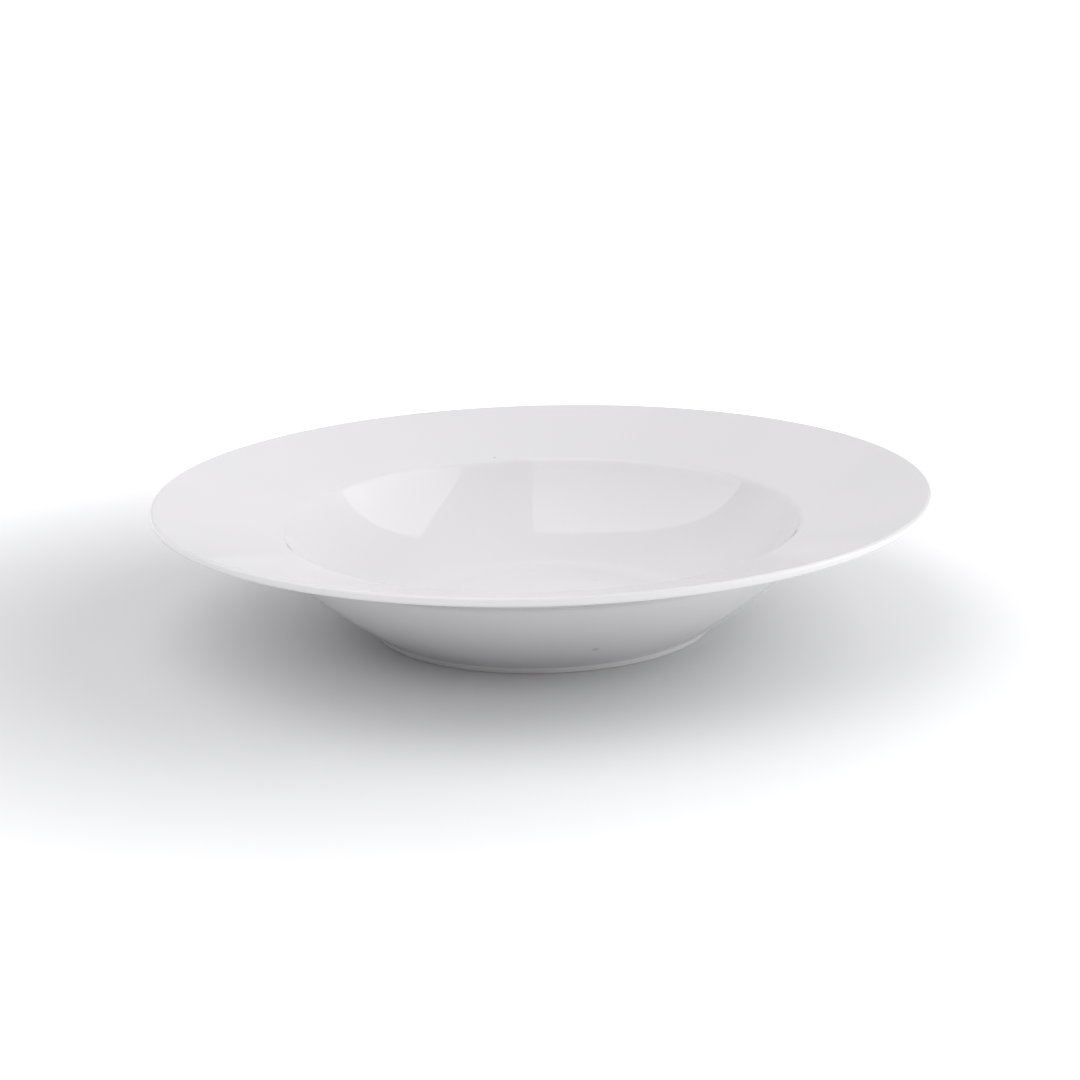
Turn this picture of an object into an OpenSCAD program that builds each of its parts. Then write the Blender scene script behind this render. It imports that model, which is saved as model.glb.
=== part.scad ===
// Rimmed soup plate: a fired porcelain body under a clear glaze that stops short of the bare foot ring.
// Millimetres, +Z up, the foot standing on z = 0 and the plate turned about the Z axis.

/* [Rim] */
// Outside diameter of the plate, over the lip
plate_d = 230; // [200:1:270]
// Height of the plate, from the table to the top of the lip
plate_h = 41.5; // [37:0.5:48]
// Slope of the rim's upper face, in degrees, rising towards the lip
rim_slope = 14.5; // [8:0.5:18]
// Height of the upright face of the lip, before its two edges are rounded
lip_t = 2.6; // [2.2:0.1:3.6]
// Rounding of the two edges of the lip
lip_round = 1; // [0.6:0.05:1.05]

/* [Well] */
// Diameter of the well's mouth, where the lines of the rim and of the wall cross
well_d = 154; // [136:1:170]
// Rounding of the verge, the bend between the rim and the wall of the well
verge_round = 3; // [1.5:0.5:6]
// Slope of the wall of the well, in degrees
wall_slope = 58; // [52:0.5:62]
// Rounding between the wall and the floor of the well, which takes up most of the wall
bowl_round = 47; // [34:1:50]
// Thickness of the floor, with the glaze on both sides
floor_t = 3.8; // [3.2:0.1:5]

/* [Back] */
// Distance outside the well's mouth at which the back of the wall meets the underside of the rim
back_w = 7; // [5:0.5:10]
// Thickness of the rim there, measured upright, with the glaze on both sides
rim_t = 4.4; // [3.6:0.1:5.4]
// Rounding of that inside corner
back_round = 12; // [4:0.5:20]
// Change of the back's slope between the foot and the rim, in degrees
back_turn = 11; // [4:0.5:16]
// Share of the back that curves, the rest running straight into the foot and the rim
back_share = 0.7; // [0.4:0.05:0.75]

/* [Foot] */
// Distance of the foot ring's root inside the corner of the well's floor
foot_set = 9.6; // [7:0.2:13]
// Height at which the back of the wall meets the foot ring
foot_h = 2; // [1.6:0.1:2.4]
// Width of the foot ring at its root
foot_w = 6; // [5:0.1:9]
// Taper of both sides of the foot ring, in degrees
foot_taper = 20; // [8:1:24]
// Rounding of the two lower edges of the foot ring
foot_round = 0.9; // [0.6:0.05:1]
// Rounding where the back of the wall meets the foot ring
foot_fillet = 1; // [0.4:0.1:1.6]
// Height of the recess inside the foot ring
recess_h = 2.6; // [2:0.1:3.2]
// Rounding where the recess meets the foot ring
recess_round = 1.6; // [0.6:0.1:2.2]

/* [Glaze] */
// Thickness of the glaze
glaze_t = 0.35; // [0.15:0.05:0.5]
// Clearance between the clay and the glaze over it
glaze_gap = 0.01; // [0.005:0.005:0.05]
// Height of the bare band at the bottom of the foot ring
bare_h = 0.9; // [0.7:0.05:1.1]

/* [Hidden] */
$fn = 120;

// Overlap of a corner's rounding with the shapes beside it, and how far its circle passes their edges
overlap = 0.05;
excess = 0.002;

// Top corner of the lip, set so that the rounded lip ends at the plate's height
lip = [plate_d / 2, plate_h + lip_round * (tan(rim_slope) + 1 / cos(rim_slope) - 1)];

// Corners of the well, and a point on the line of its wall above the plate
floor_h = recess_h + floor_t;
verge = [well_d / 2, lip.y - (lip.x - well_d / 2) * tan(rim_slope)];
floor_edge = [verge.x - (verge.y - floor_h) / tan(wall_slope), floor_h];
wall_end = verge + [1, tan(wall_slope)] * lip_t * 4;

// Rounding of the bowl, kept within the wall: a straight stretch is always left below the verge's rounding
wall_straight = 0.5;
verge_reach = verge_round * tan((wall_slope - rim_slope) / 2);
bowl_most = (norm(verge - floor_edge) - verge_reach - wall_straight) / tan(wall_slope / 2);
bowl_r = min(bowl_round, bowl_most);

// Root of the foot ring, corner under the rim, and the apex of the curved back between them
foot_top = [floor_edge.x - foot_set, foot_h];
under_rim = verge + [back_w, back_w * tan(rim_slope) - rim_t];
back_half = (under_rim - foot_top) / 2;
back_apex = foot_top + back_half + [back_half.y, -back_half.x] * tan(back_turn / 2);
back_curve = back_share * norm(back_half) / sin(back_turn / 2);

// Depth of the clay below the glazed surface
clay_depth = glaze_t + glaze_gap;

// Foot ring, drawn as if the glaze ran under it too
foot_out = foot_top.x - (foot_h + clay_depth) * tan(foot_taper);
foot_root = foot_top.x - foot_w;
foot_in = foot_root + (recess_h + clay_depth) * tan(foot_taper);

// Corners of the glazed outside, anticlockwise from the recess to the verge, each with its rounding
OUTSIDE = [
    [-foot_w, recess_h, 0],
    [foot_root, recess_h, recess_round],
    [foot_in, -clay_depth, foot_round],
    [foot_out, -clay_depth, foot_round],
    [foot_top.x, foot_top.y, foot_fillet],
    [back_apex.x, back_apex.y, back_curve],
    [under_rim.x, under_rim.y, back_round],
    [lip.x, lip.y - lip_t, lip_round],
    [lip.x, lip.y, lip_round],
    [verge.x, verge.y, 0],
    [-foot_w, verge.y, 0]
];

// Corners of the hollow of the well, anticlockwise from its floor
HOLLOW = [
    [-foot_w, floor_h, 0],
    [floor_edge.x, floor_edge.y, bowl_r],
    [wall_end.x, wall_end.y, 0],
    [-foot_w, wall_end.y, 0]
];

// The verge between the lip and the floor
VERGE = [
    [lip.x, lip.y, 0],
    [verge.x, verge.y, verge_round],
    [floor_edge.x, floor_edge.y, 0]
];

function unit(v) = v / norm(v);
function across(v) = [-v.y, v.x];
function point(list, i) = [for (k = [0, 1]) list[(i + len(list)) % len(list)][k]];
function way_in(list, i) = unit(point(list, i) - point(list, i - 1));
function way_out(list, i) = unit(point(list, i + 1) - point(list, i));
// 1 at a corner that sticks out, -1 at one that goes in
function side(list, i) = sign(cross(way_in(list, i), way_out(list, i)));
// A corner moved in by a depth, and its rounding there
function at_depth(list, i, depth) =
    point(list, i)
    + across(way_in(list, i) + way_out(list, i)) * depth / (1 + way_in(list, i) * way_out(list, i));
function round_at(list, i, depth) = list[i][2] - side(list, i) * depth;

// The piece between a sharp corner and its rounding
module corner_tip(list, i, depth) {
    p = at_depth(list, i, depth);
    r = round_at(list, i, depth);
    back = side(list, i) > 0 ? -way_in(list, i) : way_out(list, i);
    forth = side(list, i) > 0 ? way_out(list, i) : -way_in(list, i);
    half = acos(back * forth) / 2;
    centre = p + unit(back + forth) * r / sin(half);
    reach = 1 + overlap / r;
    difference() {
        polygon([
            centre,
            centre + (p + back * r / tan(half) - centre) * reach,
            centre + (p - centre) * reach,
            centre + (p + forth * r / tan(half) - centre) * reach
        ]);
        translate(centre)
            circle(r = r + excess);
    }
}

module corner_tips(list, which, depth) {
    for (i = [0 : len(list) - 1])
        if (list[i][2] > 0 && side(list, i) == which)
            corner_tip(list, i, depth);
}

// An outline with its corners rounded, moved in by a depth
module rounded(list, depth) {
    difference() {
        union() {
            polygon([for (i = [0 : len(list) - 1]) at_depth(list, i, depth)]);
            corner_tips(list, -1, depth);
        }
        corner_tips(list, 1, depth);
    }
}

// Half section of the plate, at a depth below the glazed surface
module section(depth) {
    intersection() {
        difference() {
            rounded(OUTSIDE, depth);
            rounded(HOLLOW, -depth);
            corner_tip(VERGE, 1, depth);
        }
        translate([0, -plate_h])
            square([plate_d, 3 * plate_h]);
    }
}

// Half section of all the glaze, wiped off the bottom of the foot ring
module glaze_section() {
    difference() {
        section(0);
        section(glaze_t);
        translate([foot_root, -plate_h])
            square([foot_w, plate_h + bare_h]);
    }
}

// Half section of the space inside the foot ring, up to the middle of the floor
module base_space() {
    translate([0, -plate_h])
        square([(foot_in + foot_out) / 2, plate_h + recess_h + floor_t / 2]);
}

module porcelain_body() {
    color("#f2efe9")
        rotate_extrude()
            section(clay_depth);
}

module glaze_coat() {
    color("#f7f7f8")
        rotate_extrude()
            difference() {
                glaze_section();
                base_space();
            }
}

module base_glaze() {
    color("#f4f4f6")
        rotate_extrude()
            intersection() {
                glaze_section();
                base_space();
            }
}

porcelain_body();
glaze_coat();
base_glaze();
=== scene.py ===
"""Looks of a rimmed soup plate: turned porcelain, its two stretches of glaze, and a plain studio."""

import logging
import math
from collections.abc import Iterator
from dataclasses import dataclass
from enum import Enum, IntEnum
from typing import Any, NamedTuple

import bpy
from mathutils import Matrix, Vector


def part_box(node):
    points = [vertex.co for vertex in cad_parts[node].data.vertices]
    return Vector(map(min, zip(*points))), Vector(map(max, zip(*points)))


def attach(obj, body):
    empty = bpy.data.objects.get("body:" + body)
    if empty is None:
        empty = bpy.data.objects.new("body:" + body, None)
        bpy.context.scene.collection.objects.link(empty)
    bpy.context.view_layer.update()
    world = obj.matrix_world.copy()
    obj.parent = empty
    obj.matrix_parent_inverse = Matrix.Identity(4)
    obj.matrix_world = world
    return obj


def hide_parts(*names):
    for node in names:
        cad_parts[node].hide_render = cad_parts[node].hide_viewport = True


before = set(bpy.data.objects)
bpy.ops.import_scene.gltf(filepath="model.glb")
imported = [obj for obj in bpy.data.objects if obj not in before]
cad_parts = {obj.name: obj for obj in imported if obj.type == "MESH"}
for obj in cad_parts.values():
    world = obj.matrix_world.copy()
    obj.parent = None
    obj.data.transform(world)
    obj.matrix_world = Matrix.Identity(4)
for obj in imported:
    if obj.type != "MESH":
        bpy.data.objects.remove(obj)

MM = 0.001
LOG = logging.getLogger("soup_plate")

Colour = tuple[float, float, float, float]
Light = tuple[float, float, float]
Place = tuple[float, float, float]
Span = tuple[float, float]

# Stretches of a noise that a ramp is read over, and the whole of a share
MOST_OF_NOISE: Span = (0.3, 0.7)
MIDDLE_OF_NOISE: Span = (0.35, 0.65)
HEART_OF_NOISE: Span = (0.4, 0.6)
WHOLE: Span = (0.0, 1.0)

# Share of a speck's radius over which it keeps its full strength
SPECK_CORE = 0.4


class Node(Enum):
    """CAD nodes that the pieces stand for."""

    BODY = "porcelain_body"
    COAT = "glaze_coat"
    BASE = "base_glaze"


class Slot(Enum):
    """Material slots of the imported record."""

    CLAY = "porcelain"
    GLAZE = "glaze"


class Side(Enum):
    """Side of the plate that a softbox hangs on, as seen by the camera."""

    LEFT = "left"
    RIGHT = "right"


class FootCorner(IntEnum):
    """Places of the foot ring's corners along the outline of the section."""

    TOP = 7
    OUT = 8
    IN = 9
    ROOT = 10


class Detail(Enum):
    """Octaves of finer noise that a pattern has."""

    SMOOTH = 1.0
    SOFT = 2.0
    FINE = 3.0


class Spread(Enum):
    """Power of the cosine by which a glow falls off around its middle."""

    WIDE = 3.0
    NARROW = 16.0


class Towards(Enum):
    """Directions from the plate to the parts of the room that glow; the camera stands at the front."""

    ABOVE = (0.0, 0.0, 1.0)
    LEFT_ABOVE = (-1.0, 0.0, 1.0)
    FRONT_ABOVE = (0.0, -1.0, 1.0)
    RIGHT_WALL = (1.0, 0.0, 0.15)
    BACK_WALL = (0.0, 1.0, 0.15)
    BACK_RIGHT_LOW = (0.707, 0.707, 0.12)
    RIGHT_LOW = (1.0, 0.0, 0.12)
    FRONT_RIGHT_LOW = (0.707, -0.707, 0.12)
    BACK_LEFT_LOW = (-0.707, 0.707, 0.12)


class Corner(NamedTuple):
    """Corner of the half section: distance from the axis, height and rounding, in metres."""

    r: float
    z: float
    round: float = 0.0

    @property
    def point(self) -> Vector:
        """The corner as a point of the section's plane."""
        return Vector((self.r, self.z))


def right_of(way: Vector) -> Vector:
    """Direction a quarter turn to the right of a way through the section's plane."""
    return Vector((way.y, -way.x))


def way_between(start: Corner, end: Corner) -> Vector:
    """Unit direction from one corner to the next."""
    return (end.point - start.point).normalized()


def turn_between(into: Vector, out: Vector) -> float:
    """Angle of the bend from one direction to the next, positive to the left."""
    return math.atan2(into.cross(out), into.dot(out))


@dataclass(frozen=True)
class PlateSection:
    """Half section of the plate through its axis, with the sizes that shape it.

    The outline runs from the middle of the floor over the lip and down the back to the middle of the recess,
    so that the clay is always on its right.
    """

    plate_d: float
    plate_h: float
    rim_slope: float = math.radians(14.5)
    lip_t: float = 2.6 * MM
    lip_round: float = 1.0 * MM
    well_d: float = 154.0 * MM
    verge_round: float = 3.0 * MM
    wall_slope: float = math.radians(58.0)
    bowl_round: float = 47.0 * MM
    floor_t: float = 3.8 * MM
    back_w: float = 7.0 * MM
    rim_t: float = 4.4 * MM
    back_round: float = 12.0 * MM
    back_turn: float = math.radians(11.0)
    back_share: float = 0.7
    foot_set: float = 9.6 * MM
    foot_h: float = 2.0 * MM
    foot_w: float = 6.0 * MM
    foot_taper: float = math.radians(20.0)
    foot_round: float = 0.9 * MM
    foot_fillet: float = 1.0 * MM
    recess_h: float = 2.6 * MM
    recess_round: float = 1.6 * MM
    glaze_t: float = 0.35 * MM
    glaze_gap: float = 0.01 * MM
    glaze_edge_round: float = 0.14 * MM
    bare_h: float = 0.9 * MM

    @property
    def clay_depth(self) -> float:
        """Depth of the clay below the glazed surface."""
        return self.glaze_t + self.glaze_gap

    def corners(self) -> list[Corner]:
        """Sharp corners of the glazed outline, drawn as if the glaze ran under the foot ring too.

        Returns:
            The corners from the middle of the floor round to the middle of the recess.
        """
        rise = math.tan(self.rim_slope)
        lip_r = self.plate_d / 2
        lip_z = self.plate_h + self.lip_round * (rise + 1 / math.cos(self.rim_slope) - 1)
        floor_z = self.recess_h + self.floor_t
        verge = Vector((self.well_d / 2, lip_z - (lip_r - self.well_d / 2) * rise))
        floor_r = verge.x - (verge.y - floor_z) / math.tan(self.wall_slope)
        under_rim = verge + Vector((self.back_w, self.back_w * rise - self.rim_t))
        foot_top = Vector((floor_r - self.foot_set, self.foot_h))
        half = (under_rim - foot_top) / 2
        apex = foot_top + half + right_of(half) * math.tan(self.back_turn / 2)
        curve = self.back_share * half.length / math.sin(self.back_turn / 2)
        lean = math.tan(self.foot_taper)
        foot_out = foot_top.x - (self.foot_h + self.clay_depth) * lean
        foot_root = foot_top.x - self.foot_w
        foot_in = foot_root + (self.recess_h + self.clay_depth) * lean
        return [
            Corner(0.0, floor_z),
            Corner(floor_r, floor_z, self.bowl_round),
            Corner(verge.x, verge.y, self.verge_round),
            Corner(lip_r, lip_z, self.lip_round),
            Corner(lip_r, lip_z - self.lip_t, self.lip_round),
            Corner(under_rim.x, under_rim.y, self.back_round),
            Corner(apex.x, apex.y, curve),
            Corner(foot_top.x, foot_top.y, self.foot_fillet),
            Corner(foot_out, -self.clay_depth, self.foot_round),
            Corner(foot_in, -self.clay_depth, self.foot_round),
            Corner(foot_root, self.recess_h, self.recess_round),
            Corner(0.0, self.recess_h),
        ]

    def outline(self, depth: float) -> list[Corner]:
        """Outline at a depth below the glazed surface.

        Args:
            depth: Distance into the plate, in metres.

        Returns:
            The moved corners, whose roundings tighten where the plate sticks out and widen where it goes in.
        """
        corners = self.corners()
        first, last = corners[0], corners[-1]
        moved = [Corner(first.r, first.z - depth)]
        for before, here, after in zip(corners, corners[1:], corners[2:]):
            into, out = way_between(before, here), way_between(here, after)
            shift = (right_of(into) + right_of(out)) * depth / (1 + into.dot(out))
            rounding = here.round + math.copysign(depth, turn_between(into, out))
            moved.append(Corner(here.r + shift.x, here.z + shift.y, rounding))
        moved.append(Corner(last.r, last.z + depth))
        return moved

    def body(self) -> list[Corner]:
        """Section of the fired clay."""
        return self.outline(self.clay_depth)

    def coat(self) -> list[Corner]:
        """Section of the glaze over the floor, rim and back, down to its edge outside the foot ring.

        Returns:
            The corners of its outer face and then, backwards, of its inner one.
        """
        top, out = FootCorner.TOP, FootCorner.OUT
        outer, inner = self.outline(0.0), self.outline(self.glaze_t)
        edges = [self.glaze_edge(line[top], line[out]) for line in (outer, inner)]
        return [*outer[:out], *edges, *reversed(inner[:out])]

    def base(self) -> list[Corner]:
        """Section of the glaze in the recess, out to its edge inside the foot ring.

        Returns:
            The corners of its inner face, backwards, and then of its outer one.
        """
        foot_in, root = FootCorner.IN, FootCorner.ROOT
        outer, inner = self.outline(0.0), self.outline(self.glaze_t)
        edges = [self.glaze_edge(line[foot_in], line[root]) for line in (inner, outer)]
        return [*reversed(inner[root:]), *edges, *outer[root:]]

    def glaze_edge(self, start: Corner, end: Corner) -> Corner:
        """Rounded point on a side of the foot ring where the glaze was wiped off.

        Args:
            start: Corner at one end of the side.
            end: Corner at the other end.

        Returns:
            The corner of the glaze at the height of the bare band.
        """
        share = (self.bare_h - start.z) / (end.z - start.z)
        return Corner(start.r + share * (end.r - start.r), self.bare_h, self.glaze_edge_round)


@dataclass(frozen=True)
class Turning:
    """How finely a section is turned: steps of its arcs and straight stretches, and segments of a turn."""

    arc_step: float = math.radians(5.0)
    arc_least: int = 4
    straight_step: float = 8.0 * MM
    straight_ease: float = 0.2 * MM
    segments: int = 360
    weld: float = 0.004 * MM

    def arc(self, before: Corner, here: Corner, after: Corner) -> list[Vector]:
        """Points of a corner's rounding.

        Args:
            before: Corner that comes first.
            here: Corner that is rounded.
            after: Corner that follows.

        Returns:
            The points of the arc in order, or the corner itself where it is sharp.
        """
        if here.round <= 0:
            return [here.point]
        into, out = way_between(before, here), way_between(here, after)
        turn = turn_between(into, out)
        start = here.point - into * here.round * math.tan(abs(turn) / 2)
        spoke = right_of(into) * math.copysign(here.round, turn)
        count = max(self.arc_least, math.ceil(abs(turn) / self.arc_step))
        centre = start - spoke
        return [centre + Matrix.Rotation(turn * k / count, 2) @ spoke for k in range(count + 1)]

    def straight(self, start: Vector, end: Vector) -> Iterator[Vector]:
        """Points between the ends of a straight stretch, one close to each end and the rest evenly spaced.

        Args:
            start: First end.
            end: Other end.

        Yields:
            The points in order, without the ends.
        """
        length = (end - start).length
        inner = length - 2 * self.straight_ease
        if inner <= self.straight_ease:
            return
        count = math.ceil(inner / self.straight_step)
        for k in range(count + 1):
            yield start.lerp(end, (self.straight_ease + inner * k / count) / length)

    def profile(self, corners: list[Corner]) -> list[Vector]:
        """Points of a section with its corners rounded.

        Args:
            corners: Corners from the axis round to the axis.

        Returns:
            The points of the whole line.
        """
        points = [corners[0].point]
        for before, here, after in zip(corners, corners[1:], corners[2:]):
            bend = self.arc(before, here, after)
            points += [*self.straight(points[-1], bend[0]), *bend]
        return [*points, *self.straight(points[-1], corners[-1].point), corners[-1].point]


class TurningTree:
    """Geometry Nodes tree that turns a drawn line about the Z axis into a closed skin."""

    def __init__(self) -> None:
        """Builds the tree and its named inputs."""
        self.tree = bpy.data.node_groups.new("turned_section", "GeometryNodeTree")
        self.inputs: dict[str, str] = {}
        self.add_socket("Line", "NodeSocketGeometry")
        self.add_socket("Segments", "NodeSocketInt")
        self.add_socket("Path Radius", "NodeSocketFloat")
        self.add_socket("Weld Distance", "NodeSocketFloat")
        self.add_socket("Finish", "NodeSocketMaterial")
        self.tree.interface.new_socket("Skin", in_out="OUTPUT", socket_type="NodeSocketGeometry")
        self.join_nodes()

    def add_socket(self, name: str, kind: str) -> None:
        """Adds a named input and keeps its identifier.

        Args:
            name: Name of the input.
            kind: Blender's type of the socket.
        """
        socket = self.tree.interface.new_socket(name, in_out="INPUT", socket_type=kind)
        self.inputs[name] = socket.identifier

    def join_nodes(self) -> None:
        """Adds the nodes and joins them: the line is swept round a circle, and its poles are closed."""
        made = self.tree.nodes.new
        join = self.tree.links.new
        given = made("NodeGroupInput").outputs
        line = made("GeometryNodeMeshToCurve")
        path = made("GeometryNodeCurvePrimitiveCircle")
        upright = made("GeometryNodeSetCurveNormal")
        upright.mode = "Z_UP"
        sweep = made("GeometryNodeCurveToMesh")
        weld = made("GeometryNodeMergeByDistance")
        smooth = made("GeometryNodeSetShadeSmooth")
        real = made("GeometryNodeRealizeInstances")
        finish = made("GeometryNodeSetMaterial")
        result = made("NodeGroupOutput")
        join(given["Line"], line.inputs["Mesh"])
        join(given["Segments"], path.inputs["Resolution"])
        join(given["Path Radius"], path.inputs["Radius"])
        join(path.outputs["Curve"], upright.inputs["Curve"])
        join(upright.outputs["Curve"], sweep.inputs["Curve"])
        join(line.outputs["Curve"], sweep.inputs["Profile Curve"])
        join(sweep.outputs["Mesh"], weld.inputs["Geometry"])
        join(given["Weld Distance"], weld.inputs["Distance"])
        join(weld.outputs["Geometry"], smooth.inputs["Geometry"])
        join(smooth.outputs["Geometry"], real.inputs["Geometry"])
        join(real.outputs["Geometry"], finish.inputs["Geometry"])
        join(given["Finish"], finish.inputs["Material"])
        join(finish.outputs["Geometry"], result.inputs["Skin"])

    def turn(self, name: str, line: list[Vector], path_r: float, turning: Turning,
             finish: bpy.types.Material) -> bpy.types.Object:
        """Turns a line into a plain mesh object.

        Args:
            name: Name of the piece.
            line: Points of the section, from the axis round to the axis.
            path_r: Radius of the circle that the line is swept along.
            turning: How finely it is turned.
            finish: Material of the skin.

        Returns:
            The piece at the origin, with its shape in its mesh and no modifier left.
        """
        drawn = bpy.data.meshes.new(name + "_line")
        points = [(p.x - path_r, -p.y, 0.0) for p in line]
        drawn.from_pydata(points, [(k, k + 1) for k in range(len(points) - 1)], [])
        piece = bpy.data.objects.new(name, drawn)
        bpy.context.scene.collection.objects.link(piece)
        modifier = piece.modifiers.new("turned", "NODES")
        modifier.node_group = self.tree
        modifier[self.inputs["Segments"]] = turning.segments
        modifier[self.inputs["Path Radius"]] = path_r
        modifier[self.inputs["Weld Distance"]] = turning.weld
        modifier[self.inputs["Finish"]] = finish
        evaluated = piece.evaluated_get(bpy.context.evaluated_depsgraph_get())
        skin = bpy.data.meshes.new_from_object(evaluated)
        skin.name = name
        piece.modifiers.remove(modifier)
        piece.data = skin
        bpy.data.meshes.remove(drawn)
        return piece


class NodeSheet:
    """Shader node tree with short ways to add and join its nodes."""

    def __init__(self, tree: bpy.types.NodeTree) -> None:
        """Takes up a tree.

        Args:
            tree: Tree that the nodes are added to.
        """
        self.tree = tree

    def put(self, socket: bpy.types.NodeSocket, value: Any) -> None:
        """Sets or links one input.

        Args:
            socket: Input that takes the value.
            value: Value, or an output of another node.
        """
        if isinstance(value, bpy.types.NodeSocket):
            self.tree.links.new(value, socket)
        else:
            socket.default_value = value

    def feed(self, node: bpy.types.Node, inputs: dict[str, Any]) -> None:
        """Sets or links a node's inputs.

        Args:
            node: Node that takes them.
            inputs: Values or outputs of other nodes, by the names of the sockets.
        """
        for name, value in inputs.items():
            self.put(node.inputs[name], value)

    def add(self, kind: str, inputs: dict[str, Any] | None = None, **settings: Any) -> bpy.types.Node:
        """Adds a node.

        Args:
            kind: Blender's type of the node.
            inputs: Values or outputs of other nodes, by the names of the sockets that take them.
            settings: Properties of the node itself.

        Returns:
            The node.
        """
        node = self.tree.nodes.new(kind)
        for name, value in settings.items():
            setattr(node, name, value)
        self.feed(node, inputs or {})
        return node

    def maths(self, operation: str, first: Any, second: Any) -> bpy.types.NodeSocket:
        """Works out one sum of two values.

        Args:
            operation: Blender's name of the sum.
            first: First value or output.
            second: Second value or output.

        Returns:
            The result.
        """
        node = self.add("ShaderNodeMath", operation=operation)
        for socket, value in zip(node.inputs, (first, second)):
            self.put(socket, value)
        return node.outputs["Value"]

    def vector_maths(self, operation: str, *values: Any) -> bpy.types.Node:
        """Works out one sum of vectors.

        Args:
            operation: Blender's name of the sum.
            values: Vectors or outputs, in the order of the node's inputs.

        Returns:
            The node, whose output is Vector, or Value where the sum gives a number.
        """
        node = self.add("ShaderNodeVectorMath", operation=operation)
        for socket, value in zip(node.inputs, values):
            self.put(socket, value)
        return node


class FinishSheet(NodeSheet):
    """Node tree of a material, with the patterns that the finishes are made of."""

    def __init__(self, name: str) -> None:
        """Starts a material with a Principled shader.

        Args:
            name: Name of the material.
        """
        self.material = bpy.data.materials.new(name)
        self.material.use_nodes = True
        super().__init__(self.material.node_tree)
        self.shader = self.tree.nodes["Principled BSDF"]
        self.place = self.add("ShaderNodeTexCoord").outputs["Object"]

    def noise(self, feature: float, detail: Detail) -> bpy.types.NodeSocket:
        """Smooth noise over the piece.

        Args:
            feature: Size of its patches, in metres.
            detail: Octaves of finer noise.

        Returns:
            The noise, from 0 to 1.
        """
        inputs = {"Vector": self.place, "Scale": 1 / feature, "Detail": detail.value, "Roughness": 0.5}
        return self.add("ShaderNodeTexNoise", inputs).outputs["Fac"]

    def ramp(self, value: bpy.types.NodeSocket, source: Span, target: Span) -> bpy.types.NodeSocket:
        """Maps one range of a value on to another, smoothly and within bounds.

        Args:
            value: Output to map.
            source: Ends of the range that it is read over.
            target: Values at those ends.

        Returns:
            The mapped value.
        """
        inputs = {"Value": value, "From Min": source[0], "From Max": source[1],
                  "To Min": target[0], "To Max": target[1]}
        return self.add("ShaderNodeMapRange", inputs, interpolation_type="SMOOTHSTEP").outputs["Result"]

    def mix(self, share: bpy.types.NodeSocket, first: Any, second: Any) -> bpy.types.NodeSocket:
        """Blends two colours.

        Args:
            share: Share of the second colour.
            first: Colour or output at share 0.
            second: Colour or output at share 1.

        Returns:
            The blended colour.
        """
        inputs = {"Fac": share, "Color1": first, "Color2": second}
        return self.add("ShaderNodeMixRGB", inputs).outputs["Color"]

    def distance(self, point: Place) -> bpy.types.NodeSocket:
        """Distance of a place on the piece from a point, both in metres."""
        return self.vector_maths("DISTANCE", self.place, point).outputs["Value"]

    def bump(self, height: bpy.types.NodeSocket, depth: float) -> bpy.types.NodeSocket:
        """Turns a height into a bent normal.

        Args:
            height: Height from 0 to 1.
            depth: Real height of a step of 1, in metres.

        Returns:
            The normal.
        """
        inputs = {"Height": height, "Strength": 1.0, "Distance": depth}
        return self.add("ShaderNodeBump", inputs).outputs["Normal"]


class Speck(NamedTuple):
    """Speck of iron that burnt through the glaze: its place and radius in metres, and its strength."""

    place: Place
    radius: float
    strength: float


# Specks on the back, on the floor of the well and behind the verge
SHOWN_SPECKS = (
    Speck((14.1 * MM, -61.7 * MM, 10.4 * MM), 1.25 * MM, 0.42),
    Speck((16.3 * MM, 22.0 * MM, 6.4 * MM), 0.9 * MM, 0.12),
    Speck((-14.6 * MM, 77.8 * MM, 32.5 * MM), 0.55 * MM, 0.4),
)


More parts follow.
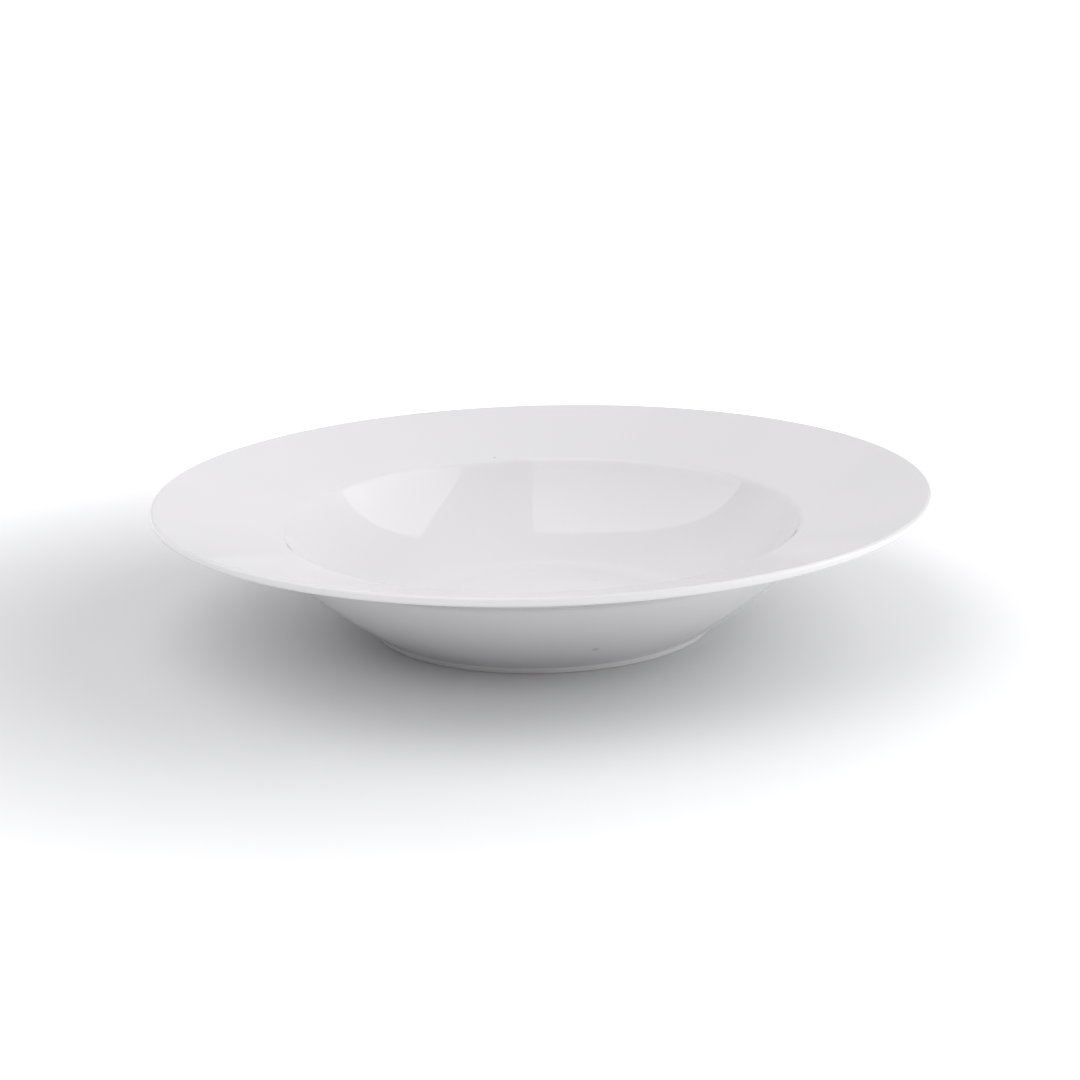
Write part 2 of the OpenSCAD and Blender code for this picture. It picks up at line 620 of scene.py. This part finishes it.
@dataclass(frozen=True)
class GlazeFinish:
    """Clear glaze over white porcelain: glossy, faintly uneven, with a few fired-in specks."""

    white: Colour = (0.80, 0.79, 0.80, 1.0)
    shade: Colour = (0.775, 0.77, 0.782, 1.0)
    speck: Colour = (0.32, 0.29, 0.26, 1.0)
    patch: float = 60.0 * MM
    gloss: Span = (0.015, 0.04)
    gloss_patch: float = 22.0 * MM
    wave: float = 26.0 * MM
    wave_depth: float = 0.003 * MM
    speck_cell: float = 9.0 * MM
    speck_r: float = 0.22 * MM
    speck_share: float = 0.03
    shown_specks: tuple[Speck, ...] = SHOWN_SPECKS
    ior: float = 1.52

    def material(self) -> bpy.types.Material:
        """Builds the glaze's material.

        Returns:
            The material.
        """
        sheet = FinishSheet("clear_glaze")
        cloud = sheet.ramp(sheet.noise(self.patch, Detail.SOFT), MIDDLE_OF_NOISE, WHOLE)
        tint = sheet.mix(cloud, self.white, self.shade)
        gloss = sheet.ramp(sheet.noise(self.gloss_patch, Detail.FINE), MOST_OF_NOISE, self.gloss)
        wave = sheet.bump(sheet.noise(self.wave, Detail.SMOOTH), self.wave_depth)
        sheet.feed(sheet.shader, {
            "Base Color": sheet.mix(self.specks(sheet), tint, self.speck),
            "Roughness": gloss,
            "IOR": self.ior,
            "Normal": wave,
        })
        return sheet.material

    def specks(self, sheet: FinishSheet) -> bpy.types.NodeSocket:
        """Scatters a few small specks, and sets those that the photograph shows.

        Args:
            sheet: Material that they are added to.

        Returns:
            Their share of the colour, from 0 to 1.
        """
        inputs = {"Vector": sheet.place, "Scale": 1 / self.speck_cell, "Randomness": 1.0}
        cells = sheet.add("ShaderNodeTexVoronoi", inputs)
        edge = self.speck_r / self.speck_cell
        dot = sheet.ramp(cells.outputs["Distance"], (SPECK_CORE * edge, edge), (1.0, 0.0))
        pick = sheet.add("ShaderNodeSeparateColor", {"Color": cells.outputs["Color"]}).outputs["Red"]
        total = sheet.maths("MULTIPLY", dot, sheet.maths("LESS_THAN", pick, self.speck_share))
        for speck in self.shown_specks:
            core = SPECK_CORE * speck.radius
            spot = sheet.ramp(sheet.distance(speck.place), (core, speck.radius), (speck.strength, 0.0))
            total = sheet.maths("MAXIMUM", total, spot)
        return total


@dataclass(frozen=True)
class ClayFinish:
    """Bare fired clay of the foot ring: matt, finely grained, greyed where it has slid on tables."""

    clay: Colour = (0.82, 0.81, 0.785, 1.0)
    warm: Colour = (0.79, 0.77, 0.73, 1.0)
    worn: Colour = (0.62, 0.61, 0.59, 1.0)
    patch: float = 9.0 * MM
    grain: float = 0.35 * MM
    grain_depth: float = 0.03 * MM
    worn_h: float = 0.25 * MM
    matt: Span = (0.55, 0.75)

    def material(self) -> bpy.types.Material:
        """Builds the bare clay's material.

        Returns:
            The material.
        """
        sheet = FinishSheet("bare_clay")
        grain = sheet.noise(self.grain, Detail.FINE)
        cloud = sheet.ramp(sheet.noise(self.patch, Detail.FINE), MOST_OF_NOISE, WHOLE)
        fired = sheet.mix(cloud, self.clay, self.warm)
        height = sheet.add("ShaderNodeSeparateXYZ", {"Vector": sheet.place}).outputs["Z"]
        low = sheet.ramp(height, (0.0, self.worn_h), (1.0, 0.0))
        rubbed = sheet.maths("MULTIPLY", low, sheet.ramp(grain, HEART_OF_NOISE, WHOLE))
        sheet.feed(sheet.shader, {
            "Base Color": sheet.mix(rubbed, fired, self.worn),
            "Roughness": sheet.ramp(grain, MOST_OF_NOISE, self.matt),
            "Normal": sheet.bump(grain, self.grain_depth),
        })
        return sheet.material


@dataclass(frozen=True)
class FloorFinish:
    """Smooth pale studio floor with painted light: it glows by itself away from the plate, standing in for a
    lit white sweep, and the glow fades out near the plate as a painted shade pool.
    """

    pale: Colour = (0.75, 0.755, 0.765, 1.0)
    shade: Colour = (0.73, 0.738, 0.75, 1.0)
    patch: float = 0.5
    matt: Span = (0.7, 0.85)
    specular: float = 0.1
    glow: Colour = (1.0, 1.0, 1.0, 1.0)
    painted_shade_centre: Place = (-0.06, 0.0, 0.0)
    painted_glow_span: Span = (0.085, 0.325)
    painted_glow: float = 0.61

    def material(self) -> bpy.types.Material:
        """Builds the floor's material.

        Returns:
            The material.
        """
        sheet = FinishSheet("pale_floor")
        cloud = sheet.ramp(sheet.noise(self.patch, Detail.SOFT), MOST_OF_NOISE, WHOLE)
        sheet.feed(sheet.shader, {
            "Base Color": sheet.mix(cloud, self.pale, self.shade),
            "Roughness": sheet.ramp(cloud, WHOLE, self.matt),
            "Specular IOR Level": self.specular,
            "Emission Color": self.glow,
            # Painted light: the floor glows by itself, and the glow fades out towards a point left of the
            # plate, a painted shade pool where the plate's shadow falls
            "Emission Strength": sheet.ramp(sheet.distance(self.painted_shade_centre), self.painted_glow_span, (0.0, self.painted_glow)),
        })
        return sheet.material


@dataclass
class SoupPlate:
    """The plate: its clay body, the glaze over it and the glaze in the recess of its foot."""

    section: PlateSection
    turning: Turning
    glaze: GlazeFinish
    clay: ClayFinish

    def build(self) -> list[bpy.types.Object]:
        """Turns and dresses the three pieces.

        Returns:
            The pieces, riding on the one body.
        """
        tree = TurningTree()
        glaze, clay = self.glaze.material(), self.clay.material()
        parts = [
            ("turned_body", self.section.body(), clay, Node.BODY, Slot.CLAY),
            ("turned_coat", self.section.coat(), glaze, Node.COAT, Slot.GLAZE),
            ("turned_base_glaze", self.section.base(), glaze, Node.BASE, Slot.GLAZE),
        ]
        pieces = []
        for name, corners, finish, node, slot in parts:
            line = self.turning.profile(corners)
            piece = tree.turn(name, line, self.section.plate_d / 2, self.turning, finish)
            self.dress(piece, node)
            pieces.append(piece)
        return pieces

    def dress(self, piece: bpy.types.Object, node: Node) -> None:
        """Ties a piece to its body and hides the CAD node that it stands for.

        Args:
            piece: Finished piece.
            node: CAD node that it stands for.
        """
        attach(piece, "root")
        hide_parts(node.value)


@dataclass(frozen=True)
class Softbox:
    """Rectangular softbox, hung by the corner nearest the plate's axis at the back, which the well mirrors.

    Its length runs from that corner along the front edge, towards the camera, and its width along the outer
    edge.
    """

    side: Side
    corner: Place
    front_edge: Place
    outer_edge: Place
    length: float
    width: float
    radiance: float
    tint: Light = (1.0, 0.99, 0.99)

    def build(self) -> bpy.types.Object:
        """Hangs the softbox as an area light that shines down.

        Returns:
            The light.
        """
        along = Vector(self.front_edge).normalized()
        out = Vector(self.outer_edge).normalized()
        out = (out - along * out.dot(along)).normalized()
        middle = Vector(self.corner) + (along * self.length + out * self.width) / 2
        if along.cross(out).z > 0:
            along = -along
        turn = Matrix((along, -out, -along.cross(out))).transposed()
        lamp = bpy.data.lights.new(f"{self.side.value}_softbox", "AREA")
        lamp.shape = "RECTANGLE"
        lamp.size, lamp.size_y = self.length, self.width
        lamp.energy = self.radiance * math.pi * self.length * self.width
        lamp.color = self.tint
        light = bpy.data.objects.new(lamp.name, lamp)
        light.matrix_world = Matrix.Translation(middle) @ turn.to_4x4()
        bpy.context.scene.collection.objects.link(light)
        return light


@dataclass(frozen=True)
class PhotoCamera:
    """Camera at the photograph's viewing angle."""

    distance: float = 0.805
    elevation: float = math.radians(17.015)
    pitch: float = math.radians(15.264)
    roll: float = math.radians(-1.531)
    aside: float = -0.48 * MM
    lens: float = 89.19
    sensor: float = 36.0
    clip: Span = (0.01, 100.0)

    def build(self) -> bpy.types.Object:
        """Places the camera and makes it the scene's own.

        Returns:
            The camera.
        """
        ahead = Vector((0.0, math.cos(self.pitch), -math.sin(self.pitch)))
        level = Vector((1.0, 0.0, 0.0))
        upward = Vector((0.0, math.sin(self.pitch), math.cos(self.pitch)))
        right = level * math.cos(self.roll) + upward * math.sin(self.roll)
        up = upward * math.cos(self.roll) - level * math.sin(self.roll)
        back = self.distance * math.cos(self.elevation)
        place = Vector((self.aside, -back, self.distance * math.sin(self.elevation)))
        data = bpy.data.cameras.new("photo_camera")
        data.lens, data.sensor_width = self.lens, self.sensor
        data.clip_start, data.clip_end = self.clip
        camera = bpy.data.objects.new(data.name, data)
        camera.matrix_world = Matrix.Translation(place) @ Matrix((right, up, -ahead)).transposed().to_4x4()
        bpy.context.scene.collection.objects.link(camera)
        bpy.context.scene.camera = camera
        return camera


@dataclass(frozen=True)
class Glow:
    """Soft glow of one part of the room."""

    towards: Towards
    colour: Light
    spread: Spread = Spread.WIDE

    def add_to(self, sheet: NodeSheet, way: bpy.types.NodeSocket,
               light: bpy.types.NodeSocket | Light) -> bpy.types.NodeSocket:
        """Adds the glow to the light that is already there.

        Args:
            sheet: Node tree of the world.
            way: Direction that a ray looks in.
            light: Light so far.

        Returns:
            The light with the glow.
        """
        middle = Vector(self.towards.value).normalized()
        facing = sheet.vector_maths("DOT_PRODUCT", way, middle).outputs["Value"]
        lobe = sheet.maths("POWER", sheet.maths("MAXIMUM", facing, 0.0), self.spread.value)
        return sheet.vector_maths("MULTIPLY_ADD", lobe, self.colour, light).outputs["Vector"]


@dataclass(frozen=True)
class Room:
    """Soft light of the studio's walls and ceiling: an even part, and the parts that glow."""

    even: Light
    glows: tuple[Glow, ...]

    def build(self) -> bpy.types.World:
        """Makes the world that lights the scene.

        Returns:
            The world.
        """
        world = bpy.data.worlds.new("studio_room")
        world.use_nodes = True
        sheet = NodeSheet(world.node_tree)
        way = sheet.add("ShaderNodeTexCoord").outputs["Generated"]
        light: bpy.types.NodeSocket | Light = self.even
        for glow in self.glows:
            light = glow.add_to(sheet, way, light)
        sheet.feed(sheet.tree.nodes["Background"], {"Color": light})
        bpy.context.scene.world = world
        return world


SOFTBOXES = (
    Softbox(
        side=Side.RIGHT,
        corner=(0.405, 0.477, 0.9),
        front_edge=(0.159, -0.987, 0.0),
        outer_edge=(0.985, 0.173, 0.0),
        length=1.08,
        width=1.22,
        radiance=1.17,
    ),
    Softbox(
        side=Side.LEFT,
        corner=(0.023, 0.335, 0.9),
        front_edge=(0.025, -1.0, 0.0),
        outer_edge=(-1.0, -0.025, -0.86),
        length=1.08,
        width=0.88,
        radiance=0.95,
    ),
)

ROOM = Room(
    even=(0.01, 0.01, 0.01),
    glows=(
        Glow(Towards.ABOVE, (0.3, 0.297, 0.3)),
        Glow(Towards.LEFT_ABOVE, (0.45, 0.445, 0.45)),
        Glow(Towards.FRONT_ABOVE, (0.36, 0.355, 0.36)),
        Glow(Towards.RIGHT_WALL, (0.6, 0.6, 0.605)),
        Glow(Towards.BACK_WALL, (0.7, 0.695, 0.705)),
        Glow(Towards.BACK_RIGHT_LOW, (0.25, 0.25, 0.25), Spread.NARROW),
        Glow(Towards.RIGHT_LOW, (3.4, 3.4, 3.4), Spread.NARROW),
        Glow(Towards.FRONT_RIGHT_LOW, (1.4, 1.4, 1.4), Spread.NARROW),
        Glow(Towards.BACK_LEFT_LOW, (0.43, 0.43, 0.43), Spread.NARROW),
    ),
)


@dataclass(frozen=True)
class Studio:
    """Pale floor, soft light and the photograph's camera."""

    floor: FloorFinish
    room: Room
    softboxes: tuple[Softbox, ...]
    camera: PhotoCamera
    floor_half: float = 30.0

    def build(self) -> list[bpy.types.ID]:
        """Lays the floor, lights the room and places the camera.

        Returns:
            What was set up, in order.
        """
        bpy.context.scene.view_settings.view_transform = "Standard"
        lights = [softbox.build() for softbox in self.softboxes]
        return [self.lay_floor(), self.room.build(), *lights, self.camera.build()]

    def lay_floor(self) -> bpy.types.Object:
        """Lays the floor at the height that the plate stands on.

        Returns:
            The floor.
        """
        low, high = -self.floor_half, self.floor_half
        corners = [(low, low, 0.0), (high, low, 0.0), (high, high, 0.0), (low, high, 0.0)]
        mesh = bpy.data.meshes.new("studio_floor")
        mesh.from_pydata(corners, [], [(0, 1, 2, 3)])
        mesh.materials.append(self.floor.material())
        floor = bpy.data.objects.new("studio_floor", mesh)
        bpy.context.scene.collection.objects.link(floor)
        return floor


def main() -> None:
    """Builds the plate and the studio, and logs what was made."""
    logging.basicConfig(level=logging.INFO, format="%(name)s: %(message)s")
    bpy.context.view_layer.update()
    low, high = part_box(Node.COAT.value)
    section = PlateSection(plate_d=high.x - low.x, plate_h=high.z)
    plate = SoupPlate(section, Turning(), GlazeFinish(), ClayFinish())
    for piece in plate.build():
        LOG.info("%s: %d faces", piece.name, len(piece.data.polygons))
    studio = Studio(FloorFinish(), ROOM, SOFTBOXES, PhotoCamera())
    for item in studio.build():
        LOG.info("%s: set up", item.name)


if __name__ == "__main__":
    main()
